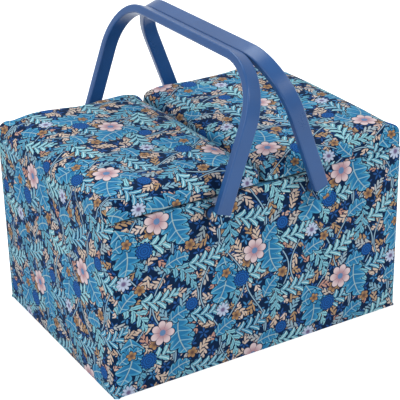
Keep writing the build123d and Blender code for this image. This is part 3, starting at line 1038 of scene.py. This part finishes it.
def at_face(axis, value, top=None):
    """A test for the edges round a face, or only for those along its top."""
    return lambda middle: (
        abs(middle[axis] - value) < 1e-5 and (top is None or abs(middle.z - top) < 1e-5)
    )


for name, low, high, face in (
    ("front", (-WALL_X, -WALL_Y, FLOOR_LOW), (WALL_X, -INNER_Y, LEDGE_Z), (1, 1)),
    ("back", (-WALL_X, INNER_Y, FLOOR_LOW), (WALL_X, WALL_Y, LEDGE_Z), (1, -1)),
    ("left_end", (-WALL_X, -INNER_Y, FLOOR_LOW), (-INNER_X, INNER_Y, LEDGE_Z), (0, 1)),
    ("right_end", (INNER_X, -INNER_Y, FLOOR_LOW), (WALL_X, INNER_Y, LEDGE_Z), (0, -1)),
):
    axis, side = face
    inner = high[axis] if side > 0 else low[axis]
    panel = make_panel(
        f"{name}_padded_lining", low, high, face, at_face(axis, inner, top=LEDGE_Z)
    )
    dress(panel, "case", "lining_cloth", lining_satin, f"{name}_liner")

panel = make_panel(
    "floor_padded_lining", (-INNER_X, -INNER_Y, FLOOR_LOW), (INNER_X, INNER_Y, FLOOR_HIGH),
    (2, 1), at_face(2, FLOOR_HIGH), rounding=0.0014, cap=0.0012,
)
dress(panel, "case", "lining_cloth", lining_satin, "floor_liner")

# %% [markdown]
# Inside the lids, a card covered in the same satin hides the board and the turned-in
# print. It is thin, so it keeps nearly flat with soft edges, and only its face is padded.

# %% Lid linings
LINING_LOW, LINING_HIGH = 0.1765, 0.1785
LINING_NEAR, LINING_FAR = 0.0066, 0.149
for side, name in SIDES:
    low_x, high_x = sorted((side * LINING_NEAR, side * LINING_FAR))
    panel = make_panel(
        f"{name}_lid_satin", (low_x, -WALL_Y, LINING_LOW), (high_x, WALL_Y, LINING_HIGH),
        (2, -1), at_face(2, LINING_LOW), rounding=0.0009, cap=0.0007,
    )
    dress(panel, f"lid_{name}", "lining_cloth", lining_satin, f"{name}_lid_lining")

# %% [markdown]
# The pincushion is a small cushion sewn under the left lid. A rounded block is remeshed
# to even squares and blown up, so its sides pull in between the corners and its crown
# comes by itself. A piped edge covers the seam where it is sewn to the lining, and a
# covered button pulls its middle in.

# %% Pincushion
CUSHION_X, CUSHION_HALF = -0.0778, 0.038
CUSHION_LOW, CUSHION_HIGH, CUSHION_GROWTH = 0.1645, 0.1765, 0.0035
DIMPLE_DEPTH, DIMPLE_REACH = 0.0034, 0.009
pincushion_cotton = make_plain_cloth(
    "pincushion_cotton", "a9c3d3", "8fabc0", pitch=0.0008, sheen=0.12, roughness=0.85
)


def make_pincushion():
    half, crown = CUSHION_HALF - CUSHION_GROWTH, CUSHION_LOW + CUSHION_GROWTH
    cushion = new_block(
        "pincushion", (CUSHION_X - half, -half, crown), (CUSHION_X + half, half, CUSHION_HIGH)
    )
    edit(cushion)
    bevel_edges(cushion, lambda a, b: abs(a.z - b.z) > 0.005, 0.012, 5)
    bevel_edges(cushion, lambda a, b: max(a.z, b.z) < crown + 1e-5, 0.004, 3)
    finished(cushion)
    add_modifier(cushion, "REMESH", mode="VOXEL", voxel_size=0.004)
    inflate(
        cushion, lambda point: near_one(point.z, CUSHION_HIGH - 0.003, CUSHION_HIGH - 0.0005),
        pressure=5.0, cap=0.0045,
    )

    def settle(point):
        point.z = min(point.z, CUSHION_HIGH)
        reach = math.hypot(point.x - CUSHION_X, point.y)
        near_crown = point.z < 0.172
        dimple = DIMPLE_DEPTH * math.exp(-((reach / DIMPLE_REACH) ** 2)) if near_crown else 0.0
        point.z = max(point.z, CUSHION_LOW + 0.0002) + dimple
        return point

    add_modifier(cushion, "SUBSURF", levels=1, render_levels=1)
    move_points(cushion, settle)
    make_active(cushion)
    bpy.ops.object.shade_smooth()
    return cushion


cushion = make_pincushion()
dress(cushion, "lid_left", "pincushion_cloth", pincushion_cotton, "left_lid_pincushion")

RING, CORD, SQUARENESS = 0.05, 0.0011, 5.3
PIPING_HALF = CUSHION_HALF - 0.0028


def onto_square(point):
    """Pull a place on a ring to a rounded square, keeping its place in the cord."""
    turn = math.atan2(point.y, point.x)
    out = math.hypot(point.x, point.y) - RING
    across, along = math.cos(turn), math.sin(turn)
    spread = (abs(across) ** SQUARENESS + abs(along) ** SQUARENESS) ** (1 / SQUARENESS)
    reach = PIPING_HALF / spread + out
    return Vector((CUSHION_X + across * reach, along * reach, CUSHION_HIGH - CORD + point.z))


piping = new_piece(
    "pincushion_piping", bpy.ops.mesh.primitive_torus_add,
    major_segments=120, minor_segments=10, major_radius=RING, minor_radius=CORD,
)
move_points(piping, onto_square)
bpy.ops.object.shade_smooth()
dress(piping, "lid_left", "lining_cloth", pincushion_cotton)

BUTTON_RADIUS, BUTTON_DEPTH = 0.0052, 0.0026
button = new_piece(
    "pincushion_button", bpy.ops.mesh.primitive_cylinder_add, vertices=32,
    radius=BUTTON_RADIUS, depth=BUTTON_DEPTH,
    location=(CUSHION_X, 0, CUSHION_LOW + BUTTON_DEPTH),
)
bpy.ops.object.transform_apply(location=True, rotation=False, scale=False)
edit(button)
bevel_edges(button, lambda a, b: (
    abs(a.z - b.z) < 1e-6 and a.z < CUSHION_LOW + 0.002
), 0.0018, 5)
pick_faces(button, lambda middle, normal: normal.z < -0.99)
bpy.ops.mesh.inset(thickness=0.0016)
bpy.ops.transform.translate(value=(0, 0, -0.0003))
finished(button, 60)
dress(button, "lid_left", "lining_cloth", lining_satin)

# %% [markdown]
# The pocket in the right lid is one flat cut of cotton, sewn down on three sides and drawn
# together by elastic on the fourth. A plane is cut into narrow strips, raised off the
# lining, and given folds that are deep at the mouth and gone at the far seam.

# %% Pocket and elastic
POCKET_MOUTH, POCKET_END, POCKET_HALF = 0.0418, 0.1278, 0.085
POCKET_FACE, SEAM_Z = 0.1716, 0.1764
FOLDS, FOLD_DEPTH, FOLD_PITCH = 17, 0.00095, 0.00125


def fold_wave(along):
    """The height of the gathers, from -1 to 1, at a place along the elastic."""
    turn = along / POCKET_HALF * math.pi * FOLDS / 2
    return 0.75 * math.sin(turn + 0.5 * math.sin(turn * 0.37)) + 0.25 * math.sin(turn * 2.3 + 1.0)


def make_pocket():
    pocket = new_piece(
        "gathered_pocket", bpy.ops.mesh.primitive_plane_add,
        size=1, location=((POCKET_MOUTH + POCKET_END) / 2, 0, POCKET_FACE),
    )
    pocket.scale = (POCKET_END - POCKET_MOUTH, 2 * POCKET_HALF, 1)
    bpy.ops.object.transform_apply(location=True, rotation=False, scale=True)
    edit(pocket)
    cut_across(0, steps_between(POCKET_MOUTH, POCKET_END, 0.0032))
    cut_across(1, steps_between(-POCKET_HALF, POCKET_HALF, FOLD_PITCH))
    finished(pocket)

    def drape(point):
        from_mouth = min(1.0, (point.x - POCKET_MOUTH) / (POCKET_END - POCKET_MOUTH))
        to_side = POCKET_HALF - abs(point.y)
        to_end = POCKET_END - point.x
        seam = min(to_side, to_end)
        rise = 1 - near_one(seam, 0.0, 0.014)
        fold = fold_wave(point.y + 0.006 * from_mouth * math.sin(point.y * 60))
        depth = FOLD_DEPTH * (1 - from_mouth) ** 0.5 * near_one(to_side, 0.0, 0.012)
        puff = 0.0006 * math.sin(math.pi * from_mouth) * (1 - rise)
        point.z = POCKET_FACE + (SEAM_Z - POCKET_FACE) * rise + fold * depth * (1 - rise) - puff
        return point

    move_points(pocket, drape)
    add_modifier(pocket, "SOLIDIFY", thickness=0.0005, offset=0.0)
    make_active(pocket)
    bpy.ops.object.shade_smooth_by_angle(angle=math.radians(50))
    return pocket


pocket = make_pocket()
pocket_cotton = make_plain_cloth("pocket_cotton", "2b4a8c", "213b74", roughness=0.7)
dress(pocket, "lid_right", "lining_cloth", pocket_cotton, "right_lid_pocket")


def make_elastic_finish(rib_pitch=0.0011, cord_pitch=0.0016):
    material, tree, surface = shader("ribbed_elastic", 0.7, Sheen_Weight=0.1)
    x, y = parted(tree, object_place(tree))
    rib = abs((y * (TURN / rib_pitch / 2)).sin())
    cords = abs((x * (TURN / cord_pitch / 2)).sin())
    # painted shade and highlight: the colour follows the rib bump, darker in the grooves between
    # ribs and lighter on their crests
    tree.links.new(mixed(tree, rib, "24376c", "4663a4"), surface.inputs["Base Color"])
    relief(tree, surface, rib * 0.6 + cords * 0.5, 0.0003)
    return material


ELASTIC_WIDE, ELASTIC_HALF = 0.008, 0.0825
ELASTIC_LOW, ELASTIC_HIGH = 0.16985, 0.1705
elastic = new_block(
    "pocket_elastic_band", (POCKET_MOUTH, -ELASTIC_HALF, ELASTIC_LOW),
    (POCKET_MOUTH + ELASTIC_WIDE, ELASTIC_HALF, ELASTIC_HIGH),
)
edit(elastic)
bevel_edges(elastic, lambda a, b: abs(a.y - b.y) > 0.05, 0.0002, 2)
cut_across(1, steps_between(-ELASTIC_HALF, ELASTIC_HALF, FOLD_PITCH))
finished(elastic)


def follow_folds(point):
    ends = near_one(ELASTIC_HALF - abs(point.y), 0.0, 0.012)
    point.z += fold_wave(point.y) * 0.0005 * ends
    return point


move_points(elastic, follow_folds)
dress(elastic, "lid_right", "elastic", make_elastic_finish(), "right_lid_pocket_elastic")

# %% [markdown]
# Under the base, a black non-woven cloth hides the folded-in print. It is a flat sheet,
# glued down: a thin block with a rounded edge, in a felt of short fibres.

# %% Base cloth
def make_felt_finish():
    material, tree, surface = shader("black_felt", 0.95, Sheen_Weight=0.15)
    place = object_place(tree)
    fibres = noise(tree, place, 900.0, 5.0)
    clouds = noise(tree, place, 60.0, 3.0)
    tone = mixed(tree, (fibres * 0.6 + clouds * 0.4).ramp(0.35, 0.65), "141419", "27272d")
    tree.links.new(tone, surface.inputs["Base Color"])
    relief(tree, surface, fibres, 0.0004)
    return material


BASE_X, BASE_Y, BASE_CORNER = 0.150, 0.1075, 0.006
base_sheet = new_block("base_backing", (-BASE_X, -BASE_Y, 0.0), (BASE_X, BASE_Y, 0.001))
edit(base_sheet)
bevel_edges(base_sheet, lambda a, b: abs(a.z - b.z) > 0.0005, BASE_CORNER, 4)
bevel_edges(base_sheet, lambda a, b: max(a.z, b.z) < 1e-6, 0.0004, 2)
for axis, half in ((0, 0.143), (1, 0.101)):
    cut_across(axis, steps_between(-half, half, 0.012))
finished(base_sheet)
dress(base_sheet, "case", "base_cloth", make_felt_finish(), "base_cloth")

# %% [markdown]
# What is left keeps its CAD shape and gets its finish: raw board with pressed fibres, and
# the pivots' steel and nylon. Steel shows fine turning marks, so its gloss isn't even.

# %% Boards and pivots
def make_board_finish():
    material, tree, surface = shader("raw_board", 0.85)
    place = object_place(tree)
    fibres = noise(tree, place, 320.0, 6.0)
    clouds = noise(tree, place, 30.0, 3.0)
    specks = noise(tree, place, 1400.0, 2.0)
    tone = mixed(tree, (fibres * 0.7 + clouds * 0.3).ramp(0.3, 0.7), "6d5b47", "93816a")
    tone = mixed(tree, specks.ramp(0.62, 0.72), tone, "4b3d2e")
    tree.links.new(tone, surface.inputs["Base Color"])
    relief(tree, surface, fibres + specks * 0.4, 0.0003)
    return material


def make_steel_finish():
    material, tree, surface = shader("plated_steel", 0.3, "c4c6c9", Metallic=1.0)
    place = object_place(tree)
    marks = noise(tree, place, 1500.0, 3.0)
    level = (marks * 0.25).times_plus(1.0, 0.18)
    tree.links.new(level.socket, surface.inputs["Roughness"])
    relief(tree, surface, marks, 0.00003)
    return material


board_finish, steel_finish = make_board_finish(), make_steel_finish()
for node in (
    "front_board", "back_board", "left_end_board", "right_end_board", "base_board",
    "left_lid_board", "left_lid_rim", "right_lid_board", "right_lid_rim",
):
    finish_node(node, board_finish)
finish_node("pivot_posts", nylon)
finish_node("pivot_screws", steel_finish)
finish_node("pivot_washers", nylon)
print("boards, posts, screws and washers finished")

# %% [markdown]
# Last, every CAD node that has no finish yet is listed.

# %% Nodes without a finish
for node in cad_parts.values():
    if not node.data.materials or node.data.materials[0] is None:
        print("no finish yet:", node.name)
